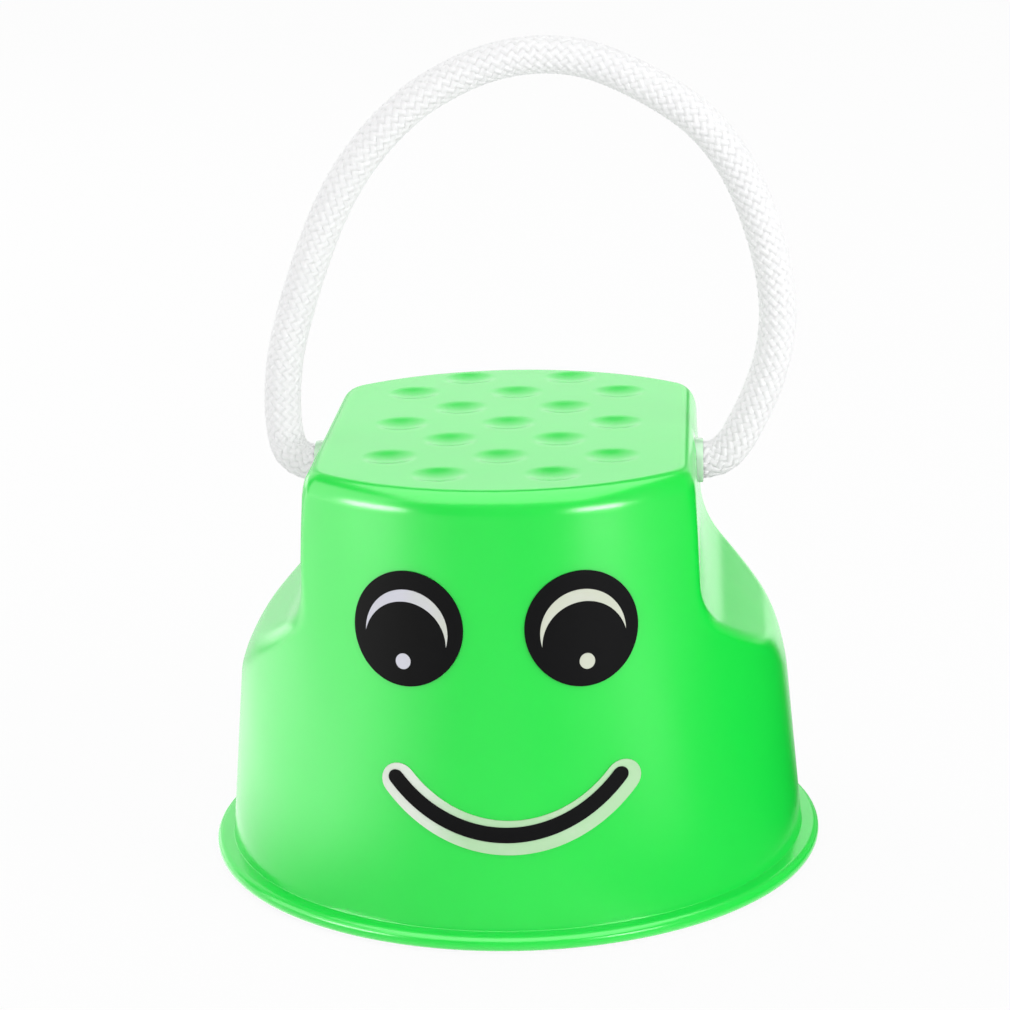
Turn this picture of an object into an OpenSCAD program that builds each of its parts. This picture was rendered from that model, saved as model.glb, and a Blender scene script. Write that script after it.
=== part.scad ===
// Cup stilt for children: a moulded plastic cup that stands on its open end, with a rope loop to hold it
// up against the foot. One of a pair. The face looks along -Y, the rope holes lie on the X axis, and the
// origin is the middle of the base, on the floor. Millimetres.

/* [Cup] */
// Diameter over the flange that stands on the floor
flange_d = 125; // [116:1:140]
// Width of the flange outside the wall
flange_w = 3.5; // [2:0.5:5]
// Thickness of the flange
flange_t = 3; // [2.5:0.5:5]
// Height from the floor to the tread
cup_h = 87; // [82:1:98]
// Diameter of the tapered wall at the height of the tread
tread_d = 102.6; // [96:0.2:108]
// Thickness of the wall
wall = 2; // [1.5:0.1:2.5]
// Thickness of the tread
tread_t = 2.8; // [2.2:0.1:3.2]
// Radius of the rounded edge all round the tread
rim_r = 3; // [2:0.5:4]

/* [Side scoops] */
// Width of the tread between the two scoops
tread_w = 75; // [68:1:80]
// Length of a scoop's upright wall below the tread
scoop_drop = 22.5; // [18:0.5:26]
// Radius of the hollow corner between upright wall and ledge
scoop_r = 14; // [9:1:18]
// Length of the straight part of the ledge
ledge_len = 10; // [7:0.5:13]
// Radius of the shoulder where the ledge turns down into the wall
shoulder_r = 14; // [9:1:18]
// Angle of the upright wall off the vertical
scoop_draft = 2.5; // [1:0.5:4]
// Slope of the ledge below the horizontal
ledge_slope = 41; // [36:1:46]

/* [Grip dimples in the tread] */
// Diameter of a dimple
dimple_d = 9.5; // [5:0.5:10]
// Depth of a dimple
dimple_depth = 1.1; // [0.5:0.1:1.5]
// Distance between dimples across the tread
dimple_pitch_x = 21.6; // [19:0.1:24]
// Distance between rows of dimples
dimple_pitch_y = 13.1; // [11:0.1:13.5]
// Offset of the pattern towards the heel
dimple_shift = 2; // [0:0.5:3]

/* [Ribs under the tread] */
// Thickness of a rib
rib_t = 1.8; // [1.2:0.1:2.4]
// Depth of the ribs below the tread
rib_h = 9; // [6:0.5:12]
// Distance from the middle to a rib that runs from toe to heel
rib_x = 11; // [8:0.5:13]
// Distance from the middle to a rib that runs from side to side
rib_y = 19; // [17:0.5:24]

/* [Rope] */
// Diameter of the braided rope
rope_d = 7.5; // [6:0.1:8]
// Distance from the tread down to the rope's axis
rope_drop = 7.5; // [7.2:0.1:9]
// Running gap round the rope in its hole
rope_gap = 0.1; // [0.05:0.05:0.3]
// Thickness of the moulded collar round the rope hole
collar_wall = 0.6; // [0.4:0.1:1]
// Reach of the collar beyond the scoop's wall
collar_len = 1.3; // [1:0.1:2]
// Diameter of the stopper knot
knot_d = 17; // [15:0.5:18]
// Length of the stopper knot
knot_len = 14; // [12:0.5:16]
// Length of the cut tail beyond the knot
tail_len = 9; // [6:0.5:14]

/* [Face stickers] */
// Thickness of the white or black film
film_t = 0.3; // [0.2:0.05:0.5]
// Thickness of the second printed colour on the film
print_t = 0.2; // [0.15:0.05:0.3]
// Diameter of an eye
eye_d = 22; // [18:0.5:24]
// Angle from the middle of the face to an eye
eye_angle = 17.9; // [15:0.1:22]
// Distance from the tread down to the middle of the eyes
eye_drop = 26.1; // [22:0.1:30]
// Radius of the crescent's outer edge
crescent_r = 8.3; // [7:0.1:9]
// Width of the crescent at its middle
crescent_w = 2.3; // [1.5:0.1:3]
// Diameter of the dot below the crescent
glint_d = 3; // [2:0.1:4]
// Distance from the eye's middle down to the dot
glint_drop = 6.2; // [5:0.1:7]
// Distance from the eye's middle outwards to the dot
glint_out = 0.5; // [0:0.1:1]
// Half the width of the smile's middle line
smile_half = 21.2; // [18:0.2:24]
// Depth of the curve of the smile's middle line
smile_sag = 10.1; // [8:0.1:12]
// Height of the middle line's lowest point above the floor
smile_z = 22; // [20:0.5:26]
// Offset of the smile towards the right
smile_x = 2; // [-2:0.5:3]
// Width of the black stroke
stroke_w = 3; // [2.4:0.1:4]
// Width of the white margin all round the stroke
margin = 1.8; // [1.2:0.1:2.4]
// How far the white film sits below the stroke's place
margin_low = 0.6; // [0:0.1:0.8]
// How far the white film sits to the right of the stroke's place
margin_right = 0.5; // [0:0.1:0.8]

/* [Hidden] */
$fn = 96;

// Overrun of every cut past the face that it opens
over = 1;
// Gap that the glue fills under a sticker
glue = 0.05;
// Rounding of the flange's outer edges
lip_r = 1.1;
// Angle below the horizontal at which the shoulder has run into the wall
shoulder_end = 72;

green = [0.24, 0.90, 0.36];
white = [0.95, 0.95, 0.95];
black = [0.03, 0.03, 0.03];

top_r = tread_d / 2;
base_r = flange_d / 2 - flange_w;
// How far the wall leans out for each millimetre down
lean = (base_r - top_r) / (cup_h - flange_t);
hole_z = cup_h - rope_drop;
hole_r = rope_d / 2 + rope_gap;

// Radius of the outer wall at height z
function wall_r(z) = top_r + (cup_h - z) * lean;
// Half the width of the tread's upright wall at height z
function upright_x(z) = tread_w / 2 + (cup_h - z) * tan(scoop_draft);

// Points on an arc: centre, radius, first and last angle, number of steps
function arc(c, r, a, b, n) = [for (i = [0:n]) c + r * [cos(a + (b - a) * i / n), sin(a + (b - a) * i / n)]];

collar_x = upright_x(hole_z) + collar_len;

// Half of the outline that the scoops leave, seen along Y, drawn inside the outer face by off
arc_steps = 12;
scoop_top = [upright_x(cup_h - scoop_drop), cup_h - scoop_drop];
scoop_c = scoop_top + scoop_r * [cos(scoop_draft), sin(scoop_draft)];
ledge_top = scoop_c - scoop_r * [sin(ledge_slope), cos(ledge_slope)];
ledge_end = ledge_top + ledge_len * [cos(ledge_slope), -sin(ledge_slope)];
shoulder_c = ledge_end - shoulder_r * [sin(ledge_slope), cos(ledge_slope)];
shoulder_foot = shoulder_c + shoulder_r * [sin(shoulder_end), cos(shoulder_end)];
outline_reach = flange_d;

function scoop_outline(off) = concat(
    arc(scoop_c, scoop_r + off, 180 + scoop_draft, 270 - ledge_slope, arc_steps),
    arc(shoulder_c, shoulder_r - off, 90 - ledge_slope, 90 - shoulder_end, arc_steps),
    [shoulder_foot - off * [sin(shoulder_end), cos(shoulder_end)]
        + outline_reach * [cos(shoulder_end), -sin(shoulder_end)]]);

// Rounded top corner of the outer outline, or the square inner one
function outline_corner(off) = off == 0
    ? arc([upright_x(cup_h) - rim_r, cup_h - rim_r], rim_r, 90, scoop_draft, arc_steps / 2)
    : [[upright_x(cup_h) - off, cup_h - tread_t]];

// A slab as wide as the outline, with the scoops taken off both sides
module scooped_slab(off) {
    half = concat(outline_corner(off), scoop_outline(off));
    both_sides()
        rotate([90, 0, 0])
            linear_extrude(height = flange_d + over, center = true)
                polygon(concat([[0, half[len(half) - 1][1]], [0, half[0][1]]], half));
}

// Round form of the cup before the scoops: flange, tapered wall and rounded rim
module outer_round() {
    rim_c = [wall_r(cup_h - rim_r) - rim_r, cup_h - rim_r];
    rotate_extrude()
        polygon(concat(
            [[0, 0]],
            arc([flange_d / 2 - lip_r, lip_r], lip_r, -90, 0, arc_steps / 2),
            arc([flange_d / 2 - lip_r, flange_t - lip_r], lip_r, 0, 90, arc_steps / 2),
            [[base_r, flange_t]],
            arc(rim_c, rim_r, 0, 90, arc_steps / 2),
            [[0, cup_h]]));
}

// Round form of the hollow, at a depth off inside the wall
module inner_round(off, roof) {
    rotate_extrude()
        polygon([[0, -over], [wall_r(-over) - off, -over], [wall_r(roof) - off, roof], [0, roof]]);
}

// One half of the X axis, as a bore or a rod of radius r from x1 to x2
module along_x(r, x1, x2) {
    translate([x1, 0, hole_z])
        rotate([0, 90, 0])
            cylinder(r = r, h = x2 - x1);
}

// Both sides of the part
module both_sides() {
    children();
    mirror([1, 0, 0])
        children();
}

// Rows from toe to heel hold two and three dimples in turn
dimple_rows = 3;
dimple_ball_r = (pow(dimple_d / 2, 2) + pow(dimple_depth, 2)) / (2 * dimple_depth);

module dimples() {
    for (row = [-dimple_rows:dimple_rows]) {
        columns = row % 2 == 0 ? [-1, 0, 1] : [-1 / 2, 1 / 2];
        for (column = columns)
            translate([column * dimple_pitch_x, row * dimple_pitch_y + dimple_shift,
                    cup_h - dimple_depth + dimple_ball_r])
                sphere(r = dimple_ball_r);
    }
}

module hollow() {
    roof = cup_h - tread_t;
    intersection() {
        inner_round(wall, roof);
        scooped_slab(wall);
    }
}

// Crossed ribs that carry the foot's load to the wall
module rib_grid() {
    roof = cup_h - (tread_t + dimple_depth) / 2;
    intersection() {
        inner_round(wall / 2, roof);
        for (side = [-1, 1]) {
            translate([side * rib_x - rib_t / 2, -tread_d / 2, cup_h - tread_t - rib_h])
                cube([rib_t, tread_d, rib_h + tread_t]);
            translate([-upright_x(cup_h) + wall / 2, side * rib_y - rib_t / 2, cup_h - tread_t - rib_h])
                cube([2 * upright_x(cup_h) - wall, rib_t, rib_h + tread_t]);
        }
    }
}

module stilt_cup() {
    color(green)
        difference() {
            union() {
                difference() {
                    intersection() {
                        outer_round();
                        scooped_slab(0);
                    }
                    hollow();
                    dimples();
                }
                rib_grid();
                both_sides()
                    along_x(hole_r + collar_wall, upright_x(hole_z) - wall / 2, collar_x);
            }
            both_sides()
                along_x(hole_r, upright_x(hole_z) - wall - over, collar_x + over);
        }
}

// Knot, cut tail and the short stretch of rope that fills the hole and meets the loop, on the right
knot_x = upright_x(hole_z) - wall - rope_gap - knot_len / 2;
knot_z = cup_h - tread_t - rope_gap - knot_d / 2;
tail_lean = 35;

module rope_knot() {
    knot_c = [knot_x, 0, knot_z];
    along_x(rope_d / 2, knot_x, loop_points[0][0]);
    translate(knot_c)
        rotate([0, 90, 0])
            rotate_extrude()
                polygon(concat([[0, knot_len / 2]],
                    [for (a = [75:-15:-75]) [(knot_d / 2) * cos(a), (knot_len / 2) * sin(a)]],
                    [[0, -knot_len / 2]]));
    translate(knot_c)
        rotate([0, 180 + tail_lean, 0])
            cylinder(r = rope_d / 2, h = knot_d / 2 + tail_len);
}

module left_rope_knot() {
    color(white)
        mirror([1, 0, 0])
            rope_knot();
}

module right_rope_knot() {
    color(white)
        rope_knot();
}

// Route of the loop from the right hole over the tread to the left hole, as X and Z
loop_points = [[39, 79.5], [42.3, 80.3], [45.1, 82.8], [47.7, 87.2], [50.4, 93], [52.4, 98.7],
    [53.6, 104.5], [53.9, 111], [53, 118.5], [51, 126.5], [48, 134.6], [44, 141.8], [38.5, 148.2],
    [32, 153], [25, 156.9], [18, 159.8], [11, 161.1], [4, 160.9], [-3, 159.4], [-10, 156.5],
    [-17, 152.3], [-23.5, 146.5], [-29, 139.9], [-33.5, 132.6], [-37, 124.9], [-40, 117],
    [-42.6, 109], [-44.5, 101.5], [-45.3, 95], [-45.5, 90], [-45.2, 85.8], [-44.4, 82.6],
    [-42.1, 80.3], [-39, 79.5]];
loop_sides = 12;
loop_last = len(loop_points) - 1;

// Direction of the route at point i; at both ends it runs along the hole's axis
function loop_way(i) = i == 0 || i == loop_last ? [1, 0] : loop_points[i + 1] - loop_points[i - 1];
// One ring of the rope, square to the route
function loop_ring(i) = let (w = loop_way(i), u = w / norm(w))
    [for (k = [0:loop_sides - 1]) let (a = 360 * k / loop_sides, s = rope_d / 2 * cos(a))
        [loop_points[i][0] - s * u[1], rope_d / 2 * sin(a), loop_points[i][1] + s * u[0]]];

module rope_loop() {
    n = loop_sides;
    points = [for (i = [0:loop_last]) each loop_ring(i)];
    skin = [for (i = [0:loop_last - 1], k = [0:n - 1])
        [i * n + k, i * n + (k + 1) % n, (i + 1) * n + (k + 1) % n, (i + 1) * n + k]];
    color(white)
        polyhedron(points, concat(skin, [[for (k = [n - 1:-1:0]) k]],
            [[for (k = [0:n - 1]) loop_last * n + k]]));
}

// A film of thickness t that hugs the tapered wall, lifted off it by lift
module film(lift, t) {
    difference() {
        rotate_extrude()
            polygon([[0, 0], [wall_r(0) + lift + t, 0], [wall_r(cup_h) + lift + t, cup_h], [0, cup_h]]);
        rotate_extrude()
            polygon([[0, -over], [wall_r(-over) + lift, -over],
                [wall_r(cup_h + over) + lift, cup_h + over], [0, cup_h + over]]);
    }
}

print_lift = 2 * glue + film_t;

// Puts a flat shape on the face, at an angle round the cup and a height, square to the wall there
module on_face(angle, z) {
    rotate([0, 0, angle])
        translate([0, 0, z])
            rotate([90, 0, 0])
                linear_extrude(height = flange_d)
                    children();
}

module eye_sticker(side) {
    color(black)
        intersection() {
            film(glue, film_t);
            on_face(side * eye_angle, cup_h - eye_drop)
                circle(d = eye_d);
        }
}

crescent_tilt = 7;
crescent_drop = 0.8;

module eye_print(side) {
    color(white)
        intersection() {
            film(print_lift, print_t);
            on_face(side * eye_angle, cup_h - eye_drop) {
                rotate(side * crescent_tilt)
                    difference() {
                        translate([0, -crescent_drop])
                            circle(r = crescent_r);
                        translate([0, -crescent_drop - crescent_w])
                            circle(r = crescent_r);
                    }
                translate([side * glint_out, -glint_drop])
                    circle(d = glint_d);
            }
        }
}

module left_eye_sticker() {
    eye_sticker(-1);
}

module right_eye_sticker() {
    eye_sticker(1);
}

module left_eye_print() {
    eye_print(-1);
}

module right_eye_print() {
    eye_print(1);
}

// Radius and half angle of the smile's middle line
smile_r = (pow(smile_half, 2) + pow(smile_sag, 2)) / (2 * smile_sag);
smile_turn = asin(smile_half / smile_r);
smile_steps = 16;
tip_steps = 8;

// Half circle of radius r round an end of the middle line, at angle a, without its two end points
function smile_tip(a, r, way) = arc(
    [0, smile_r] + smile_r * [cos(a), sin(a)],
    r, way + 180 / tip_steps, way + 180 - 180 / tip_steps, tip_steps - 2);

// Stroke along the middle line, with round ends, that reaches r to all sides
module smile_stroke(r) {
    first = -90 - smile_turn;
    last = -90 + smile_turn;
    polygon(concat(
        arc([0, smile_r], smile_r + r, first, last, smile_steps),
        smile_tip(last, r, last),
        arc([0, smile_r], smile_r - r, last, first, smile_steps),
        smile_tip(first, r, first + 180)));
}

module smile_sticker() {
    color(white)
        intersection() {
            film(glue, film_t);
            on_face(0, smile_z)
                translate([smile_x + margin_right, -margin_low])
                    smile_stroke(stroke_w / 2 + margin);
        }
}

module smile_print() {
    color(black)
        intersection() {
            film(print_lift, print_t);
            on_face(0, smile_z)
                translate([smile_x, 0])
                    smile_stroke(stroke_w / 2);
        }
}

stilt_cup();
left_rope_knot();
right_rope_knot();
rope_loop();
left_eye_sticker();
right_eye_sticker();
left_eye_print();
right_eye_print();
smile_sticker();
smile_print();
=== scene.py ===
import math

import bmesh
import bpy
import numpy as np
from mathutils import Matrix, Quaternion, Vector


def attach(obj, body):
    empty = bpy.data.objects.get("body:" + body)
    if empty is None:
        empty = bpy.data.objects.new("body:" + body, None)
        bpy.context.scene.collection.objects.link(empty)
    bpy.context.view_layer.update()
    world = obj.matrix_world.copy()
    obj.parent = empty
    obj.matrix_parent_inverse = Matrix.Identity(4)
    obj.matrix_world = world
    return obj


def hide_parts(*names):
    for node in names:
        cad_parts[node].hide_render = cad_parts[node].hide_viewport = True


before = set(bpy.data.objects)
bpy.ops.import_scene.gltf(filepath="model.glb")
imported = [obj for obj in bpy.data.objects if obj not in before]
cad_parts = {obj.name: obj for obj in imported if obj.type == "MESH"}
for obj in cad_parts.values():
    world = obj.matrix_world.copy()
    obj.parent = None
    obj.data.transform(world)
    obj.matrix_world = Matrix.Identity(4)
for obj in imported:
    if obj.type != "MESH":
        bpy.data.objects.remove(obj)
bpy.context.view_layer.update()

# Camera: a long lens from the front, a little from the right and above, and tilted a little. Its place
# was fitted to the base ring, the tread's edges and the rows of dimples in the photograph.
VIEW_AZIMUTH = math.radians(4.02)
VIEW_ELEVATION = math.radians(15.81)
VIEW_ROLL = math.radians(-1.42)
VIEW_DISTANCE = 0.5902
VIEW_TARGET = Vector((-0.00106, 0, 0.07031))
LENS, SENSOR, CLIP_START = 103.74, 36, 0.01

back = Vector((
    math.sin(VIEW_AZIMUTH) * math.cos(VIEW_ELEVATION),
    -math.cos(VIEW_AZIMUTH) * math.cos(VIEW_ELEVATION),
    math.sin(VIEW_ELEVATION),
))
camera = bpy.data.objects.new("camera", bpy.data.cameras.new("camera"))
camera.data.lens = LENS
camera.data.sensor_width = SENSOR
camera.data.clip_start = CLIP_START
camera.rotation_mode = "QUATERNION"
camera.rotation_quaternion = (-back).to_track_quat("-Z", "Y") @ Quaternion((0, 0, 1), VIEW_ROLL)
camera.location = VIEW_TARGET + back * VIEW_DISTANCE
bpy.context.scene.collection.objects.link(camera)
bpy.context.scene.camera = camera

# Rope: one length of white polyester cord, a hollow braid of twelve strands each way. It comes out of
# both side holes and stands over the tread in a free arch; inside the cup each end is knotted.
MM = 0.001
ROPE_D = 7.5 * MM
STRANDS, LAY, STRAND_W, STRAND_T, STRAND_RISE = 12, 25 * MM, 1.6 * MM, 0.75 * MM, 0.1 * MM
ROPE_PALE, ROPE_GREY = (0.93, 0.93, 0.93), (0.87, 0.87, 0.88)
YARN_RIDGES, YARN_TWIST, YARN_RELIEF = 50.0, 900.0, 0.35
LOOP_LINE_POINTS = 500
LOOP_POINTS = np.array([
    (39, 79.5), (42.3, 80.3), (45.1, 82.8), (47.7, 87.2), (50.4, 93), (52.4, 98.7),
    (53.6, 104.5), (53.9, 111), (53, 118.5), (51, 126.5), (48, 134.6), (44, 141.8), (38.5, 148.2),
    (32, 153), (25, 156.9), (18, 159.8), (11, 161.1), (4, 160.9), (-3, 159.4), (-10, 156.5),
    (-17, 152.3), (-23.5, 146.5), (-29, 139.9), (-33.5, 132.6), (-37, 124.9), (-40, 117),
    (-42.6, 109), (-44.5, 101.5), (-45.3, 95), (-45.5, 90), (-45.2, 85.8), (-44.4, 82.6),
    (-42.1, 80.3), (-39, 79.5),
]) * MM


class Tree:
    """A node tree with short ways to add nodes and join them."""

    def __init__(self, tree):
        self.tree = tree

    def add(self, kind, *wired, inputs=None, **facts):
        """A node of a kind. What is wired goes to its inputs in order, then come inputs by name, and
        facts are its settings."""
        node = self.tree.nodes.new(kind)
        for name, value in facts.items():
            setattr(node, name, value)
        self.fill(node, dict(enumerate(wired)))
        return self.fill(node, inputs or {})

    def fill(self, node, values):
        """Joins or sets inputs of a node, each given by its number or name."""
        for place, value in values.items():
            if isinstance(value, bpy.types.Node):
                value = value.outputs[0]
            if isinstance(value, bpy.types.NodeSocket):
                self.tree.links.new(value, node.inputs[place])
            else:
                node.inputs[place].default_value = value
        return node

    def sums(self, operation, first, *others):
        """A maths node, or a row of them that takes in one value after another."""
        if not others:
            return self.add("ShaderNodeMath", first, operation=operation)
        for other in others:
            first = self.add("ShaderNodeMath", first, other, operation=operation)
        return first

    def vectors(self, operation, *values):
        """A vector maths node."""
        return self.add("ShaderNodeVectorMath", *values, operation=operation)

    def scaled(self, vector, size):
        """A vector times a number."""
        return self.add("ShaderNodeVectorMath", vector, operation="SCALE", inputs={"Scale": size})

    def join(self, shapes):
        """One geometry of several."""
        node = self.add("GeometryNodeJoinGeometry")
        for shape in shapes:
            self.fill(node, {0: shape})
        return node

    def blend(self, share, first, second):
        """A colour between two, each three numbers or what another node puts out."""
        node = self.add("ShaderNodeMix", share, data_type="RGBA")
        for place, colour in ((6, first), (7, second)):
            self.fill(node, {place: (*colour, 1) if isinstance(colour, tuple) else colour})
        return node.outputs[2]


def geometry_tree(name, sizes):
    """A geometry tree with a shape and a finish in, a shape out, and named inputs for its sizes."""
    tree = bpy.data.node_groups.new(name, "GeometryNodeTree")
    tree.interface.new_socket("Geometry", in_out="INPUT", socket_type="NodeSocketGeometry")
    tree.interface.new_socket("Geometry", in_out="OUTPUT", socket_type="NodeSocketGeometry")
    for title, kind in (*sizes, ("Finish", "Material")):
        tree.interface.new_socket(title, in_out="INPUT", socket_type="NodeSocket" + kind)
    nodes = Tree(tree)
    return nodes, nodes.add("NodeGroupInput").outputs


def end_tree(nodes, given, shape):
    """Ends a geometry tree: its instances are made real and take the finish."""
    real = nodes.add("GeometryNodeRealizeInstances", shape)
    done = nodes.add("GeometryNodeSetMaterial", real, inputs={"Material": given["Finish"]})
    nodes.add("NodeGroupOutput", done)
    return nodes.tree


def new_object(name, mesh):
    """An object in the scene, at the origin."""
    made = bpy.data.objects.new(name, mesh)
    bpy.context.scene.collection.objects.link(made)
    return made


def plain_mesh(source):
    """The mesh of an object as its modifiers leave it."""
    graph = bpy.context.evaluated_depsgraph_get()
    graph.update()
    return bpy.data.meshes.new_from_object(source.evaluated_get(graph))


def grow(name, start, tree, values):
    """Runs a geometry tree once on a mesh and gives an object with the plain mesh that comes out."""
    source = new_object(name + "_start", start)
    modifier = source.modifiers.new("build", "NODES")
    modifier.node_group = tree
    for item in tree.interface.items_tree:
        if item.item_type == "SOCKET" and item.in_out == "INPUT" and item.name in values:
            modifier[item.identifier] = values[item.name]
    mesh = plain_mesh(source)
    source.modifiers.remove(modifier)
    bpy.data.objects.remove(source)
    return new_object(name, mesh)


def braid_tree():
    """Strands that run round a line in both directions, each over one strand and under the next."""
    nodes, given = geometry_tree("braided_rope", [
        ("Diameter", "Float"), ("Lay length", "Float"), ("Strands each way", "Int"),
        ("Strand width", "Float"), ("Strand thickness", "Float"), ("Rise", "Float"),
        ("Line points", "Int"),
    ])
    line = nodes.add("GeometryNodeMeshToCurve", given["Geometry"])
    line = nodes.add("GeometryNodeCurveSplineType", line, spline_type="CATMULL_ROM")
    line = nodes.add("GeometryNodeResampleCurve", line, inputs={"Count": given["Line points"]})
    # What each strand needs to know of the line: its direction, its side and how far along it is
    for title, kind, value in (
        ("line_way", "FLOAT_VECTOR", nodes.add("GeometryNodeInputTangent")),
        ("line_side", "FLOAT_VECTOR", nodes.add("GeometryNodeInputNormal")),
        ("along", "FLOAT", nodes.add("GeometryNodeSplineParameter").outputs["Length"]),
    ):
        line = nodes.add("GeometryNodeStoreNamedAttribute", line, data_type=kind, domain="POINT",
            inputs={"Name": title, "Value": value})

    def kept(title, kind):
        """What was stored on the line under a name."""
        return nodes.add("GeometryNodeInputNamedAttribute", title, data_type=kind).outputs[0]

    strands = given["Strands each way"]
    copies = nodes.add("GeometryNodeDuplicateElements", line, domain="SPLINE",
        inputs={"Amount": nodes.sums("MULTIPLY", strands, 2.0)})
    index = copies.outputs["Duplicate Index"]
    second = nodes.sums("GREATER_THAN", index, nodes.sums("SUBTRACT", strands, 0.5))
    hand = nodes.sums("SUBTRACT", 1.0, nodes.sums("MULTIPLY", second, 2.0))
    laid = nodes.sums("DIVIDE", kept("along", "FLOAT"), given["Lay length"])
    turn = nodes.sums("ADD", nodes.sums("MULTIPLY", laid, hand), nodes.sums("DIVIDE", index, strands))
    turn = nodes.sums("MULTIPLY", turn, math.tau)
    wave = nodes.sums("COSINE", nodes.sums("MULTIPLY", laid, strands, math.tau))
    rise = nodes.sums("MULTIPLY", wave, hand, given["Rise"])
    rope_r = nodes.sums("MULTIPLY", given["Diameter"], 0.5)
    strand_r = nodes.sums("MULTIPLY", given["Strand thickness"], 0.5)
    middle = nodes.sums("SUBTRACT", rope_r, given["Rise"], strand_r)
    reach = nodes.sums("ADD", middle, rise)
    way, side = kept("line_way", "FLOAT_VECTOR"), kept("line_side", "FLOAT_VECTOR")
    across = nodes.vectors("CROSS_PRODUCT", way, side)
    outwards = nodes.vectors("NORMALIZE", nodes.vectors("ADD",
        nodes.scaled(side, nodes.sums("COSINE", turn)),
        nodes.scaled(across, nodes.sums("SINE", turn))))
    moved = nodes.add("GeometryNodeSetPosition", copies, inputs={"Offset": nodes.scaled(outwards, reach)})
    faced = nodes.add("GeometryNodeSetCurveNormal", moved, mode="FREE", inputs={"Normal": outwards})
    ring = nodes.add("GeometryNodeCurvePrimitiveCircle", inputs={"Resolution": 6, "Radius": 0.5})
    ring = nodes.add("GeometryNodeStoreNamedAttribute", ring, data_type="FLOAT", domain="POINT", inputs={
        "Name": "across", "Value": nodes.add("GeometryNodeSplineParameter").outputs["Factor"],
    })
    size = nodes.add("ShaderNodeCombineXYZ", given["Strand thickness"], given["Strand width"], 1.0)
    ring = nodes.add("GeometryNodeTransform", ring, inputs={"Scale": size})
    body = nodes.add("GeometryNodeCurveToMesh", faced, ring, inputs={"Fill Caps": True})
    # A plain core under the strands closes the small gaps at the crossings
    ring = nodes.add("GeometryNodeCurvePrimitiveCircle", inputs={"Resolution": 20, "Radius": middle})
    core = nodes.add("GeometryNodeCurveToMesh", line, ring, inputs={"Fill Caps": True})
    return end_tree(nodes, given, nodes.join([body, core]))


def material(name):
    """A node material, its tree and its Principled shader."""
    made = bpy.data.materials.new(name)
    made.use_nodes = True
    return made, Tree(made.node_tree), made.node_tree.nodes["Principled BSDF"]


def grain_group():
    """Grain that each finish takes with its own values: a tone over the surface, and a bump that the
    finish may add a relief of its own to."""
    tree = bpy.data.node_groups.new("surface_grain", "ShaderNodeTree")
    for title in ("Scale", "Detail", "Relief", "Strength", "Distance"):
        tree.interface.new_socket(title, in_out="INPUT", socket_type="NodeSocketFloat")
    tree.interface.new_socket("Tone", in_out="OUTPUT", socket_type="NodeSocketFloat")
    tree.interface.new_socket("Normal", in_out="OUTPUT", socket_type="NodeSocketVector")
    nodes = Tree(tree)
    given = nodes.add("NodeGroupInput").outputs
    place = nodes.add("ShaderNodeTexCoord").outputs["Object"]
    tone = nodes.add("ShaderNodeTexNoise", place, inputs={
        "Scale": given["Scale"], "Detail": given["Detail"],
    }).outputs["Fac"]
    bump = nodes.add("ShaderNodeBump", inputs={
        "Strength": given["Strength"], "Distance": given["Distance"],
        "Height": nodes.sums("ADD", tone, given["Relief"]),
    })
    nodes.add("NodeGroupOutput", tone, bump)
    return tree


GRAIN = grain_group()


def grain(nodes, **values):
    """The grain placed in a material with its own values; gives its tone and its normal."""
    placed = nodes.add("ShaderNodeGroup", node_tree=GRAIN,
        inputs={title.capitalize(): value for title, value in values.items()})
    return placed.outputs["Tone"], placed.outputs["Normal"]


def woven_white():
    """White polyester yarn, fuzzy, with fine ridges that run along each strand with a slight twist."""
    made, nodes, shader = material("rope_white")
    along = nodes.add("ShaderNodeAttribute", attribute_name="along").outputs["Fac"]
    across = nodes.add("ShaderNodeAttribute", attribute_name="across").outputs["Fac"]
    ridge = nodes.sums("SINE", nodes.sums("ADD",
        nodes.sums("MULTIPLY", across, YARN_RIDGES), nodes.sums("MULTIPLY", along, YARN_TWIST)))
    _, fuzz = grain(nodes, scale=1400.0, detail=3.0, strength=0.3, distance=0.0002,
        relief=nodes.sums("MULTIPLY", ridge, YARN_RELIEF))
    patches, _ = grain(nodes, scale=90.0, detail=2.0)
    nodes.fill(shader, {
        "Base Color": nodes.blend(nodes.sums("MULTIPLY", patches, 0.8), ROPE_PALE, ROPE_GREY),
        "Roughness": 0.75, "Sheen Weight": 0.08, "Sheen Roughness": 0.5, "Specular IOR Level": 0.15,
        "Normal": fuzz,
    })
    return made


BRAID = braid_tree()
rope_white = woven_white()


def braided(name, points, line_points, diameter=ROPE_D):
    """A braided rope along a row of points."""
    line = bpy.data.meshes.new(name + "_line")
    line.from_pydata([tuple(p) for p in points], [(i, i + 1) for i in range(len(points) - 1)], [])
    return grow(name, line, BRAID, {
        "Diameter": diameter, "Lay length": LAY, "Strands each way": STRANDS,
        "Strand width": STRAND_W, "Strand thickness": STRAND_T, "Rise": STRAND_RISE,
        "Line points": line_points, "Finish": rope_white,
    })


loop_line = [(x, 0.0, z) for x, z in LOOP_POINTS]
loop_rope = braided("braided_rope_loop", loop_line, LOOP_LINE_POINTS)
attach(loop_rope, "loop")
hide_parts("rope_loop")

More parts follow.
